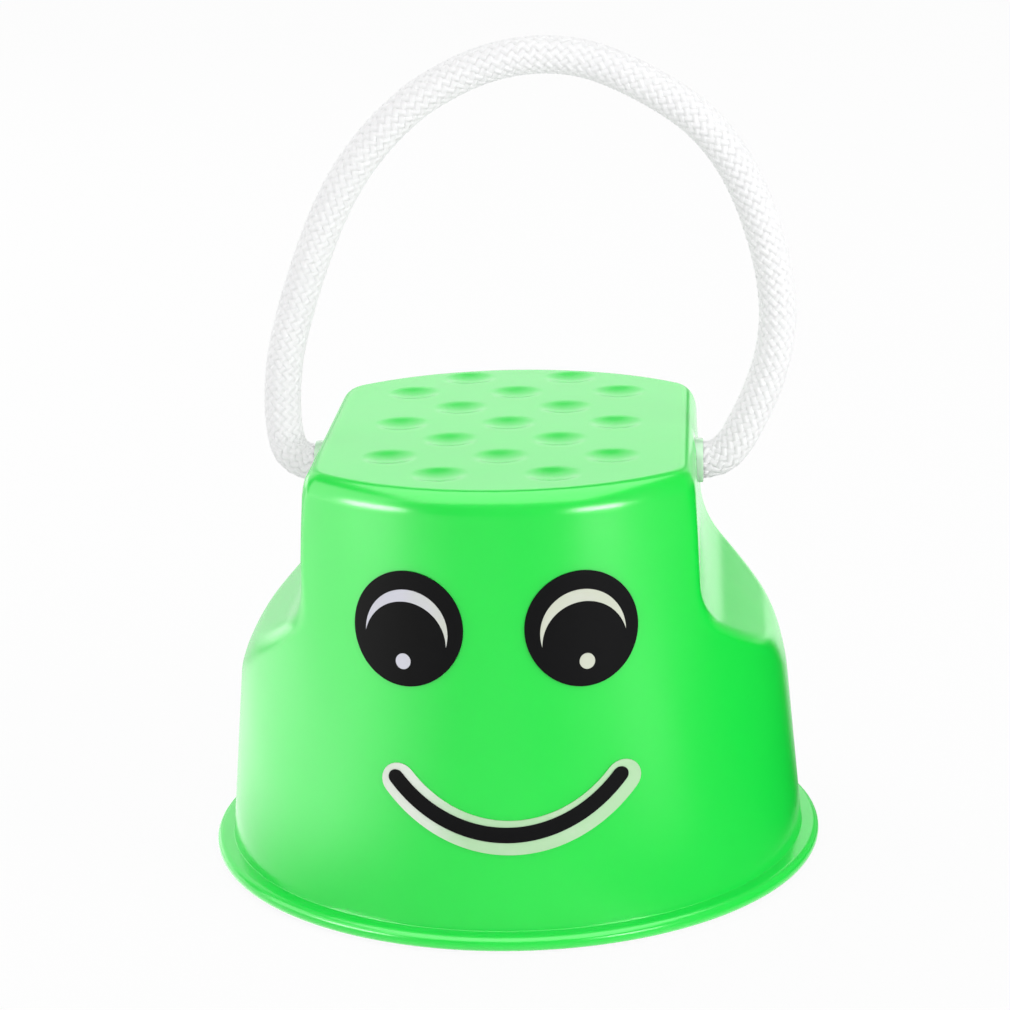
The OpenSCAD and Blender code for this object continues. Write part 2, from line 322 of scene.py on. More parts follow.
# Stopper knots: the same rope's two ends, each led through its hole, wound round itself, drawn tight
# under the tread and cut off.
KNOT_X, KNOT_Z = 28.2, 75.6
COIL_R, COIL_LEAD, COIL_TRAVEL = 5.0, 3.2, 7.0
COIL_FROM, COIL_TO, COIL_STEP = 20, 500, 24
KNOT_ROPE_D, KNOT_LINE_POINTS = 7.3 * MM, 170
INTO_HOLE = [(39.0, 0, 79.5), (37.0, 0, 79.5), (35.0, 0, 79.7), (33.4, 0.3, 80.2)]
TAIL = [(22.5, 2.2, 68.5), (20.6, 1.2, 65.6), (18.9, 0.6, 63.0), (17.6, 0.4, 61.2)]

coil = []
for degrees in range(COIL_FROM, COIL_TO + 1, COIL_STEP):
    turn = math.radians(degrees)
    coil.append((KNOT_X + COIL_LEAD - COIL_TRAVEL * degrees / COIL_TO, COIL_R * math.sin(turn),
        KNOT_Z + COIL_R * math.cos(turn)))
for side, word in ((-1, "left"), (1, "right")):
    points = [(side * x * MM, side * y * MM, z * MM) for x, y, z in INTO_HOLE + coil + TAIL]
    knot = braided(f"{word}_knot", points, KNOT_LINE_POINTS, KNOT_ROPE_D)
    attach(knot, "cup")
    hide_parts(f"{word}_rope_knot")

# Cup: one moulding in green polyethylene, a tapered shell 2 mm thick on a flange, with the two sides
# scooped away under the tread, dimples for grip, and ribs under the tread. The sizes are the CAD's, in
# millimetres; only edges and dimples are a little softer, as in the photograph.
FLANGE_R, FLANGE_W, FLANGE_T, LIP_R = 62.5, 3.5, 3.0, 1.4
CUP_H, TREAD_R, TREAD_HALF, WALL, TREAD_T = 87.0, 51.3, 37.5, 2.0, 2.8
RIM_IN, RIM_DOWN, RIM_FOLLOW, RIM_CREASE = 3.0, 5.0, 0.4, 2.8
FOOT_R, WALL_FROM = 0.15, 1.4
SCOOP_DROP, SCOOP_R, LEDGE, SHOULDER_R = 22.5, 14.0, 10.0, 14.0
DRAFT, SLOPE, SHOULDER_END = (math.radians(a) for a in (2.5, 41, 72))
ROOF, ROOF_R, INNER_CREASE = CUP_H - TREAD_T, 1.0, 1.5
# How far the creases between scoops and wall are rounded at some heights, and how much more on the left
CREASE_Z, CREASE_R = (38, 46, 56, 63, 76, 84), (1.0, 2.0, 2.2, 1.3, 1.3, 2.4)
LEFT_Z, LEFT_TIMES = (38, 44, 58, 68), (1.0, 2.3, 2.3, 1.0)
# A height below the scoops, where the outline is a plain circle
ROUND_Z = 1.0
DIMPLE_D, DIMPLE_DEPTH, DIMPLE_SOFT = 10.6, 0.82, 1.25
PITCH_ACROSS, PITCH_ALONG, DIMPLES_BACK = 21.6, 13.1, 2.0
RIB_T, RIB_DEPTH, RIB_EDGE, RIB_IN_ROOF = 1.8, 10.0, 0.35, 1.0
RIB_X, RIB_Y, RIB_TOE_TO_HEEL, RIB_SIDE_TO_SIDE = 11.0, 19.0, 98.4, 73.6
HOLE_Z, BORE_R, BORE_FROM, BORE_TO = 79.5, 3.85, 33, 42
COLLAR_R, COLLAR_X, COLLAR_EDGE, COLLAR_CORNER, COLLAR_FLARE = 4.45, 39.13, 0.25, 0.07, 0.1
# The third green is painted light: a pale glow for the collars, standing in for light shining through thin
# plastic
GREEN, LIGHT_GREEN, PAINTED_GLOW_GREEN = (0.005, 0.75, 0.056), (0.008, 0.79, 0.062), (0.6, 0.88, 0.62)
THROWN_GREY, THROWN_SHARE = (0.55, 0.57, 0.55), 0.95
# The painted glow: where it fades round a collar, and where it starts behind the collar's edge
GLOW_ROUND, GLOW_BEHIND, GLOW_SHARE = (0.3, 2.2), (2.6, 1.8), 0.85
SHARP_FROM = math.radians(32)
LEAN = (FLANGE_R - FLANGE_W - TREAD_R) / (CUP_H - FLANGE_T)


def wall_r(z):
    """Radius of the tapered wall at a height."""
    return TREAD_R + (CUP_H - z) * LEAN


def arc(centre, radius, first, last, steps):
    """Points of an arc, with the angles in radians."""
    turns = np.linspace(first, last, steps + 1)
    return np.stack([centre[0] + radius * np.cos(turns), centre[1] + radius * np.sin(turns)], axis=1)


def scoop_outline(inset):
    """Half width and height down the side that the scoops leave, seen along Y."""
    top = np.array([TREAD_HALF + SCOOP_DROP * math.tan(DRAFT), CUP_H - SCOOP_DROP])
    hollow = top + SCOOP_R * np.array([math.cos(DRAFT), math.sin(DRAFT)])
    ledge = hollow - SCOOP_R * np.array([math.sin(SLOPE), math.cos(SLOPE)])
    ledge = ledge + LEDGE * np.array([math.cos(SLOPE), -math.sin(SLOPE)])
    shoulder = ledge - SHOULDER_R * np.array([math.sin(SLOPE), math.cos(SLOPE)])
    line = np.concatenate([
        [[TREAD_HALF - inset, CUP_H]],
        arc(hollow, SCOOP_R + inset, math.pi + DRAFT, math.pi * 1.5 - SLOPE, 40),
        arc(shoulder, SHOULDER_R - inset, math.pi / 2 - SLOPE, math.pi / 2 - SHOULDER_END, 40),
    ])
    foot = line[-1] + 60 * np.array([math.cos(SHOULDER_END), -math.sin(SHOULDER_END)])
    return np.concatenate([line, [foot]])


def soft_min(a, b, k):
    """The smaller of two lengths, with the crease between them rounded over k."""
    near = np.maximum(k - np.abs(a - b), 0) / k
    return np.minimum(a, b) - near * near * k / 4


def shares(parts, even=0.6):
    """Places from -1 to 1, closer together at both ends."""
    s = np.linspace(-1, 1, parts + 1)
    return even * s + (1 - even) * (1.5 * s - 0.5 * s ** 3)


class Skin:
    """One skin of the cup, outer or inner, as rings of points from the foot to the tread."""

    def __init__(self, inset, side_parts, front_parts, ring_gap):
        self.inset, self.side_parts, self.front_parts = inset, side_parts, front_parts
        self.ring_gap = ring_gap
        line = scoop_outline(inset)
        self.outline_z, self.outline_x = line[::-1, 1], line[::-1, 0]
        self.points, self.rings = [], []
        # Where the scoop's outline meets the tapered wall, found by halving
        low, high = 20.0, CUP_H - SCOOP_DROP
        for _ in range(60):
            middle = (low + high) / 2
            if self.half_x(middle) > wall_r(middle) - inset:
                low = middle
            else:
                high = middle
        self.scoop_foot = high

    def half_x(self, z):
        """Half the width that the scoops leave at a height."""
        return float(np.interp(z, self.outline_z, self.outline_x))

    def ring(self, z, drawn_in=0.0, height=None, crease=None):
        """Adds a ring: the outline at z, drawn in by a length, at that height or at another."""
        n, m, tiny = self.side_parts, self.front_parts, 1e-4
        height = z if height is None else height
        cone, half = wall_r(z) - self.inset - drawn_in, self.half_x(z) - drawn_in
        edge = math.acos(min(1.0, half / cone))
        side = np.arctan2(shares(n)[:-1] * cone * math.sin(edge), half)
        front = edge + (math.pi - 2 * edge) * (shares(m)[:-1] + 1) / 2
        turns = np.concatenate([side, front, side + math.pi, front + math.pi])
        crease = crease or float(np.interp(z, CREASE_Z, CREASE_R))
        crease = np.where(np.cos(turns) < 0, crease * np.interp(z, LEFT_Z, LEFT_TIMES), crease)
        reach = soft_min(cone, half / np.maximum(np.abs(np.cos(turns)), tiny), crease)
        ids = []
        for i, (turn, r) in enumerate(zip(turns, reach)):
            if edge <= tiny and 0 < i % (n + m) <= n:
                # Below the scoops each scooped stretch is one point
                ids.append(ids[-1])
            else:
                ids.append(len(self.points))
                self.points.append((r * math.cos(turn), r * math.sin(turn), height))
        self.rings.append(ids)

    def heights(self, top):
        """Heights from the scoop's foot to the top, at even steps along the scoop's edge."""
        z = np.linspace(self.scoop_foot, top, 3000)
        x = np.array([self.half_x(h) for h in z])
        cone = np.array([wall_r(h) - self.inset for h in z])
        y = np.sqrt(np.maximum(cone ** 2 - x ** 2, 0))
        run = np.concatenate([[0], np.cumsum(np.hypot(np.diff(y), np.diff(z)))])
        steps = int(run[-1] / self.ring_gap)
        return np.interp(np.linspace(0, run[-1], steps + 1)[1:], run, z)

    def faces(self):
        """Faces between each ring and the next, as rows of point numbers."""
        made = []
        for low, high in zip(self.rings, self.rings[1:]):
            for i in range(len(low)):
                j = (i + 1) % len(low)
                corners = list(dict.fromkeys((low[i], low[j], high[j], high[i])))
                if len(corners) > 2:
                    made.append(corners)
        return made

    def lid(self):
        """Fills the last ring with a patch of rows and columns and gives its faces."""
        n, m, ring = self.side_parts, self.front_parts, self.rings[-1]
        # The patch runs from the left side to the right in m rows, each from the front to the rear
        right = ring[:n + 1]
        rear = ring[n:n + m + 1][::-1]
        left = ring[n + m:2 * n + m + 1][::-1]
        front = ring[2 * n + m:] + ring[:1]
        at = np.array(self.points)
        grid = [[0] * (n + 1) for _ in range(m + 1)]
        for i in range(m + 1):
            for j in range(n + 1):
                if i == 0:
                    grid[i][j] = left[j]
                elif i == m:
                    grid[i][j] = right[j]
                elif j == 0:
                    grid[i][j] = front[i]
                elif j == n:
                    grid[i][j] = rear[i]
                else:
                    u, v = i / m, j / n
                    p = (1 - v) * at[front[i]] + v * at[rear[i]]
                    p = p + (1 - u) * at[left[j]] + u * at[right[j]]
                    p = p - (1 - u) * (1 - v) * at[front[0]] - u * (1 - v) * at[front[m]]
                    p = p - (1 - u) * v * at[rear[0]] - u * v * at[rear[m]]
                    grid[i][j] = len(self.points)
                    self.points.append(tuple(p))
        return [(grid[i][j], grid[i + 1][j], grid[i + 1][j + 1], grid[i][j + 1])
            for i in range(m) for j in range(n)]


outer = Skin(0.0, side_parts=130, front_parts=130, ring_gap=1.0)
# The flange: out along the floor, round its lip, in to the wall with a small fillet
for turn in np.radians(np.linspace(-90, 90, 13)):
    reach = FLANGE_R - LIP_R + LIP_R * math.cos(turn)
    lip_z = LIP_R if turn <= 0 else FLANGE_T - LIP_R
    outer.ring(ROUND_Z, drawn_in=wall_r(ROUND_Z) - reach, height=lip_z + LIP_R * math.sin(turn))
for turn in np.radians(np.linspace(-90, 0, 5)):
    reach = FLANGE_R - FLANGE_W + FOOT_R * (1 - math.cos(turn))
    outer.ring(ROUND_Z, drawn_in=wall_r(ROUND_Z) - reach, height=FLANGE_T + FOOT_R * (1 + math.sin(turn)))
# The wall, and the rim that rolls over to the tread
for z in (*np.linspace(FLANGE_T + WALL_FROM, outer.scoop_foot, 20), *outer.heights(CUP_H - RIM_DOWN)):
    outer.ring(float(z))
for turn in np.radians(np.linspace(0, 90, 13))[1:]:
    outer.ring(CUP_H - RIM_DOWN * (1 - RIM_FOLLOW * math.sin(turn)), drawn_in=RIM_IN * (1 - math.cos(turn)),
        height=CUP_H - RIM_DOWN + RIM_DOWN * math.sin(turn), crease=RIM_CREASE)

inner = Skin(WALL, side_parts=44, front_parts=60, ring_gap=1.6)
# The mouth is eased a little; under the tread a small round joins wall and roof
for wider, height in ((0.5, 0.0), (0.1, 0.4)):
    inner.ring(ROUND_Z, drawn_in=-wider, height=height)
for z in np.linspace(1.2, inner.scoop_foot, 16):
    inner.ring(float(z))
for z in inner.heights(ROOF - ROOF_R):
    inner.ring(float(z), crease=INNER_CREASE)
for turn in np.radians(np.linspace(0, 90, 5))[1:]:
    inner.ring(ROOF - ROOF_R, drawn_in=ROOF_R * (1 - math.cos(turn)),
        height=ROOF - ROOF_R + ROOF_R * math.sin(turn), crease=INNER_CREASE)


def closed_mesh(name, solid):
    """The plain mesh of a closed bmesh, with its faces turned outwards."""
    bmesh.ops.recalc_face_normals(solid, faces=solid.faces)
    mesh = bpy.data.meshes.new(name)
    solid.to_mesh(mesh)
    solid.free()
    return mesh


shell = bmesh.new()
feet = []
for skin in (outer, inner):
    faces = skin.faces() + skin.lid()
    verts = [shell.verts.new([c * MM for c in p]) for p in skin.points]
    for face in faces:
        shell.faces.new([verts[i] for i in face])
    feet.append([verts[i] for i in dict.fromkeys(skin.rings[0])])
# The flat foot joins them, each step going on along the ring that is less far round
outside, inside = feet
i, j = 0, 0
while i < len(outside) or j < len(inside):
    if j == len(inside) or (i < len(outside) and i / len(outside) <= j / len(inside)):
        shell.faces.new((outside[i], outside[(i + 1) % len(outside)], inside[j % len(inside)]))
        i += 1
    else:
        shell.faces.new((outside[i % len(outside)], inside[(j + 1) % len(inside)], inside[j]))
        j += 1


def ramp(nodes, value, start, end, low=0.0, high=1.0):
    """A value that goes from low to high while another goes from start to end."""
    return nodes.add("ShaderNodeMapRange", value, start, end, low, high)


def moulded_green():
    """Green polyethylene: soft gloss with a faint grain, letting a little light in, with a painted glow
    round the collars.
    """
    made, nodes, shader = material("cup_green")
    fine, _ = grain(nodes, scale=900.0, detail=2.0)
    tone, normal = grain(nodes, scale=55.0, detail=3.0, strength=0.08, distance=0.0004,
        relief=nodes.sums("MULTIPLY", fine, 0.12))
    # Painted light: the thin collars and the wall round them are painted paler, as a glow of the light that
    # they let through
    place = nodes.add("ShaderNodeTexCoord").outputs["Object"]
    from_axis = nodes.vectors("SUBTRACT", place, (0, 0, HOLE_Z * MM))
    from_axis = nodes.vectors("LENGTH", nodes.vectors("MULTIPLY", from_axis, (0, 1, 1))).outputs["Value"]
    across = nodes.sums("ABSOLUTE", nodes.add("ShaderNodeSeparateXYZ", place).outputs[0])
    painted_glow_zone = nodes.sums("MULTIPLY",
        ramp(nodes, from_axis, *((COLLAR_R + far) * MM for far in GLOW_ROUND), 1.0, 0.0),
        ramp(nodes, across, *((COLLAR_X - far) * MM for far in GLOW_BEHIND)))
    # The grain's tone, and over it the painted glow round the collars
    shade = nodes.blend(nodes.sums("MULTIPLY", painted_glow_zone, GLOW_SHARE),
        nodes.blend(tone, GREEN, LIGHT_GREEN), PAINTED_GLOW_GREEN)
    # The colour that it throws on its neighbours is held back, as the photograph's white rope shows
    thrown = nodes.add("ShaderNodeLightPath").outputs["Is Diffuse Ray"]
    thrown = nodes.sums("MULTIPLY", thrown, THROWN_SHARE)
    nodes.fill(shader, {
        "Base Color": nodes.blend(thrown, shade, THROWN_GREY),
        "Roughness": ramp(nodes, tone, 0.0, 1.0, 0.19, 0.26), "IOR": 1.52, "Normal": normal,
        "Subsurface Weight": 0.2, "Subsurface Radius": (0.002, 0.006, 0.002), "Subsurface Scale": 1.0,
    })
    return made


def dimple_tree():
    """Presses round dimples into the tread, in rows that hold two and three in turn."""
    nodes, given = geometry_tree("grip_dimples", [(title, "Float") for title in (
        "Tread height", "Dimple diameter", "Dimple depth", "Softness",
        "Pitch across", "Pitch along", "Shift")])
    fields = []
    for across, along in ((3, 3), (2, 4)):
        fields.append(nodes.add("GeometryNodeMeshGrid", inputs={
            "Vertices X": across, "Size X": nodes.sums("MULTIPLY", given["Pitch across"], across - 1.0),
            "Vertices Y": along, "Size Y": nodes.sums("MULTIPLY", given["Pitch along"], 2.0 * along - 2.0),
        }))
    place = nodes.add("ShaderNodeCombineXYZ", 0.0, given["Shift"], given["Tread height"])
    centres = nodes.add("GeometryNodeTransform", nodes.join(fields), inputs={"Translation": place})
    near = nodes.add("GeometryNodeProximity", centres, target_element="POINTS").outputs["Distance"]
    out_share = nodes.sums("DIVIDE", near, nodes.sums("MULTIPLY", given["Dimple diameter"], 0.5))
    hollow = nodes.sums("SUBTRACT", 1.0, nodes.sums("POWER", out_share, 2.0))
    hollow = nodes.sums("POWER", nodes.sums("MAXIMUM", hollow, 0.0), given["Softness"])
    drop = nodes.sums("MULTIPLY", hollow, nodes.sums("MULTIPLY", given["Dimple depth"], -1.0))
    z = nodes.add("ShaderNodeSeparateXYZ", nodes.add("GeometryNodeInputPosition")).outputs[2]
    on_tread = nodes.sums("GREATER_THAN", z, nodes.sums("SUBTRACT", given["Tread height"], 1e-5))
    return end_tree(nodes, given, nodes.add("GeometryNodeSetPosition", given["Geometry"], on_tread, inputs={
        "Offset": nodes.add("ShaderNodeCombineXYZ", 0.0, 0.0, drop),
    }))


def rib_tree():
    """Ribs with rounded edges, two each way, that run into the wall at both ends."""
    nodes, given = geometry_tree("tread_ribs", [(title, "Float") for title in (
        "Thickness", "Depth", "Edge share", "Roof", "Place across", "Place along",
        "Length toe to heel", "Length side to side")])
    section = nodes.add("GeometryNodeCurvePrimitiveQuadrilateral", inputs={
        "Width": given["Depth"], "Height": given["Thickness"],
    })
    section = nodes.add("GeometryNodeFilletCurve", section, inputs={
        "Radius": nodes.sums("MULTIPLY", given["Thickness"], given["Edge share"]),
    })
    middle = nodes.sums("SUBTRACT", given["Roof"], nodes.sums("MULTIPLY", given["Depth"], 0.5))
    ribs = []
    for place, length, order in (
        ("Place across", "Length toe to heel", 1), ("Place along", "Length side to side", -1),
    ):
        for side in (-1.0, 1.0):
            off = nodes.sums("MULTIPLY", given[place], side)
            ends = []
            for end in (-0.5, 0.5):
                spot = (off, nodes.sums("MULTIPLY", given[length], end))[::order]
                ends.append(nodes.add("ShaderNodeCombineXYZ", *spot, middle))
            line = nodes.add("GeometryNodeCurvePrimitiveLine", inputs={"Start": ends[0], "End": ends[1]})
            upright = nodes.add("GeometryNodeSetCurveNormal", line, mode="FREE",
                inputs={"Normal": (0.0, 0.0, 1.0)})
            ribs.append(nodes.add("GeometryNodeCurveToMesh", upright, section, inputs={"Fill Caps": True}))
    return end_tree(nodes, given, nodes.join(ribs))


cup_green = moulded_green()
cup = grow("moulded_cup", closed_mesh("cup_shell", shell), dimple_tree(), {
    "Tread height": CUP_H * MM, "Dimple diameter": DIMPLE_D * MM, "Dimple depth": DIMPLE_DEPTH * MM,
    "Softness": DIMPLE_SOFT, "Pitch across": PITCH_ACROSS * MM, "Pitch along": PITCH_ALONG * MM,
    "Shift": DIMPLES_BACK * MM, "Finish": cup_green,
})
ribs = grow("ribs", bpy.data.meshes.new("no_shape"), rib_tree(), {
    "Thickness": RIB_T * MM, "Depth": RIB_DEPTH * MM, "Edge share": RIB_EDGE,
    "Roof": (ROOF + RIB_IN_ROOF) * MM, "Place across": RIB_X * MM, "Place along": RIB_Y * MM,
    "Length toe to heel": RIB_TOE_TO_HEEL * MM, "Length side to side": RIB_SIDE_TO_SIDE * MM,
    "Finish": cup_green,
})


def lathe_x(name, outline, side, parts=64):
    """A closed solid turned round the hole's axis from an outline of (x, radius) points."""
    solid = bmesh.new()
    rings = []
    for x, r in outline:
        rings.append([solid.verts.new((side * x * MM, r * MM * math.cos(math.tau * i / parts),
            (HOLE_Z + r * math.sin(math.tau * i / parts)) * MM)) for i in range(parts)])
    for low, high in zip(rings, rings[1:]):
        for i in range(parts):
            j = (i + 1) % parts
            solid.faces.new((low[i], low[j], high[j], high[i]))
    solid.faces.new(rings[0])
    solid.faces.new(rings[-1])
    return new_object(name, closed_mesh(name, solid))


def cut_or_join(target, tool, operation):
    """Joins a tool to the cup or cuts it out of it, and applies that."""
    step = target.modifiers.new("step", "BOOLEAN")
    step.operation, step.object, step.solver = operation, tool, "MANIFOLD"
    mesh = plain_mesh(target)
    target.modifiers.remove(step)
    old, target.data = target.data, mesh
    bpy.data.meshes.remove(old)
    bpy.data.objects.remove(tool)


MID_WALL_X = TREAD_HALF + (CUP_H - HOLE_Z) * math.tan(DRAFT) - WALL / 2
COLLAR = [
    (MID_WALL_X, COLLAR_R + COLLAR_FLARE), (COLLAR_X - COLLAR_EDGE, COLLAR_R),
    (COLLAR_X - COLLAR_CORNER, COLLAR_R - COLLAR_CORNER), (COLLAR_X, COLLAR_R - COLLAR_EDGE),
]
cut_or_join(cup, ribs, "UNION")
for side in (-1, 1):
    cut_or_join(cup, lathe_x("collar", COLLAR, side), "UNION")
    cut_or_join(cup, lathe_x("bore", [(BORE_FROM, BORE_R), (BORE_TO, BORE_R)], side), "DIFFERENCE")
# The cuts leave an empty second slot behind
cup.data.materials.clear()
cup.data.materials.append(cup_green)
cup.data.shade_smooth()
cup.data.set_sharp_from_angle(angle=SHARP_FROM)
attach(cup, "cup")
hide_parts("stilt_cup")

# Face: three die-cut vinyl stickers that hug the wall, black eyes with a white crescent and dot, and
# a smile printed black on white film.
GLUE, FILM, PRINT = 0.05, 0.3, 0.12
PRINT_LOW, EDGE_LEVEL = GLUE + FILM + 0.02, 0.55
EYE_R, EYE_TURN, EYE_Z = 11.0, math.radians(17.9), CUP_H - 26.1
CRESCENT_R, CRESCENT_W, CRESCENT_DROP, CRESCENT_TILT = 8.3, 2.3, 0.8, math.radians(7)
DOT_R, DOT_DROP, DOT_OUT = 1.5, 6.2, 0.5
SMILE_HALF, SMILE_SAG, SMILE_Z, SMILE_X, STROKE, MARGIN = 21.2, 10.1, 22.0, 2.0, 3.0, 1.8
MARGIN_LOW, MARGIN_RIGHT = 0.6, 0.5
# Across the face, in millimetres, where the films' painted light shifts from the left's tone to the right's
PAINTED_LIGHT_FROM, PAINTED_LIGHT_TO, FLECK_SHARE, FILM_SHARP_FROM = -17.0, -5.0, 0.8, math.radians(40)


def vinyl(name, colour, right_lit_colour):
    """Printed vinyl film: satin, with painted light that shifts its tone a little from left to right, and a
    tone that differs in flecks.
    """
    made, nodes, shader = material(name)
    flecks, normal = grain(nodes, scale=260.0, detail=3.0, strength=0.05, distance=0.0003)
    place = nodes.add("ShaderNodeTexCoord").outputs["Object"]
    across = nodes.add("ShaderNodeSeparateXYZ", place).outputs[0]
    # Painted light: a ramp across the face from the left's colour to the right's, with random flecks on top
    share = nodes.sums("ADD", ramp(nodes, across, PAINTED_LIGHT_FROM * MM, PAINTED_LIGHT_TO * MM),
        nodes.sums("MULTIPLY", nodes.sums("SUBTRACT", flecks, 0.5), FLECK_SHARE))
    nodes.fill(shader, {
        "Base Color": nodes.blend(share, colour, right_lit_colour),
        "Roughness": 0.5, "Specular IOR Level": 0.04, "Normal": normal,
    })
    return made


# Each film: its colour on the left, then its colour on the right, which is painted light as it falls on the
# face
black_film = vinyl("black_film", (0.004, 0.004, 0.004), (0.006, 0.006, 0.0065))
white_print = vinyl("white_print", (0.65, 0.65, 0.72), (0.62, 0.65, 0.54))
# The smile's white film is thin enough to take the cup's green; as painted light and shade its left end is
# paler and its right end darker and greener
thin_white_film = vinyl("thin_white_film", (0.76, 0.82, 0.73), (0.47, 0.72, 0.44))


def sticker(name, patches, turn, z, low, thick, finish):
    """A film on the wall, a turn round from the face's middle. Each patch is a row of closed rings from
    its inside to its edge, of flat points (right, up) round a place at height z."""
    film = bmesh.new()

    def on_wall(p, lift):
        """A flat point laid on the wall, a lift away from it."""
        height = z + p[1]
        r = wall_r(height) + lift
        y = -math.sqrt(r * r - p[0] * p[0])
        return Vector((p[0] * math.cos(turn) - y * math.sin(turn),
            p[0] * math.sin(turn) + y * math.cos(turn), height)) * MM

    for rings in patches:
        # Over the film's face to its edge, down the edge, and back underneath
        rows = [(ring, low + thick) for ring in rings]
        rows.append((rings[-1], low + thick * EDGE_LEVEL))
        rows += [(ring, low) for ring in rings[::-1]]
        levels = [[film.verts.new(on_wall(p, lift)) for p in ring] for ring, lift in rows]
        for a, b in zip(levels, levels[1:]):
            for i in range(len(a)):
                j = (i + 1) % len(a)
                film.faces.new((a[i], a[j], b[j], b[i]))
    bmesh.ops.remove_doubles(film, verts=film.verts, dist=1e-6)
    bmesh.ops.dissolve_degenerate(film, edges=film.edges, dist=1e-7)
    mesh = closed_mesh(name, film)
    mesh.shade_smooth()
    mesh.set_sharp_from_angle(angle=FILM_SHARP_FROM)
    mesh.materials.append(finish)
    made = new_object(name, mesh)
    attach(made, "cup")
    return made


def disc(centre, radius, rings=8, parts=72):
    """Rings of a disc, from a point at its middle to its rim."""
    return [arc(centre, s * radius, 0, math.tau, parts)[:-1] for s in np.linspace(0, 1, rings)]


def crescent(tilt, parts=48):
    """Rings of a crescent between two equal circles, from its middle line to its edge."""
    open_turn = math.asin(CRESCENT_W / 2 / CRESCENT_R)
    over = arc((0, -CRESCENT_DROP), CRESCENT_R, -open_turn, math.pi + open_turn, parts)
    under = arc((0, -CRESCENT_DROP - CRESCENT_W), CRESCENT_R, open_turn, math.pi - open_turn, parts)
    middle = (over + under) / 2
    tilted = np.array([[math.cos(tilt), math.sin(tilt)], [-math.sin(tilt), math.cos(tilt)]])
    rings = []
    for s in (0.0, 0.5, 1.0):
        out_side, in_side = middle + s * (over - middle), middle + s * (under - middle)
        rings.append(np.concatenate([out_side, in_side[-2:0:-1]]) @ tilted)
    return rings


def smile(radius, shift, rings=4, parts=60, tip_parts=14):
    """Rings of a stroke with round ends along the smile's middle line, an arc."""
    line_r = (SMILE_HALF ** 2 + SMILE_SAG ** 2) / (2 * SMILE_SAG)
    half_turn = math.asin(SMILE_HALF / line_r)
    down = -math.pi / 2
    made = []
    for r in np.linspace(0, 1, rings) * radius:
        ring = []
        # Along the lower edge to the right tip, then back along the upper edge to the left tip
        for way, round_from in ((1, 0), (-1, math.pi)):
            tip = down + way * half_turn
            ring.append(arc((0, 0), line_r + way * r, down - way * half_turn, tip, parts))
            tip_at = (line_r * math.cos(tip), line_r * math.sin(tip))
            ring.append(arc(tip_at, r, tip + round_from, tip + round_from + math.pi, tip_parts)[1:-1])
        made.append(np.concatenate(ring) + (shift[0], shift[1] + line_r))
    return made


for side, word in ((-1, "left"), (1, "right")):
    turn = side * EYE_TURN
    eye = sticker(f"{word}_eye_film", [disc((0, 0), EYE_R, rings=12)], turn, EYE_Z, GLUE, FILM, black_film)
    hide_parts(f"{word}_eye_sticker")
    dot = disc((side * DOT_OUT, -DOT_DROP), DOT_R, rings=4, parts=32)
    marks = [crescent(side * CRESCENT_TILT), dot]
    shine = sticker(f"{word}_eye_shine", marks, turn, EYE_Z, PRINT_LOW, PRINT, white_print)
    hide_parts(f"{word}_eye_print")
smile_film = sticker("smile_film", [smile(STROKE / 2 + MARGIN, (SMILE_X + MARGIN_RIGHT, -MARGIN_LOW))],
    0.0, SMILE_Z, GLUE, FILM, thin_white_film)
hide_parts("smile_sticker")
smile_line = sticker("smile_line", [smile(STROKE / 2, (SMILE_X, 0))],
    0.0, SMILE_Z, PRINT_LOW, PRINT, black_film)
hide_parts("smile_print")

# Studio: a white paper floor that runs out to white, even light all round, and soft boxes. Some boxes
# show only in the plastic's sheen, the others give plain light, and the camera sees none of them.
FLOOR_HALF, FLOOR_Z = 4, -0.0002
PAPER, PAPER_LIGHT, PAPER_OWN_WHITE = (0.85, 0.85, 0.85), (0.87, 0.87, 0.87), 0.9
SKY_LEVEL, SKY_SHEEN_DROP = 0.87, 0.57
LAMP_AIM = Vector((0, 0, 0.06))


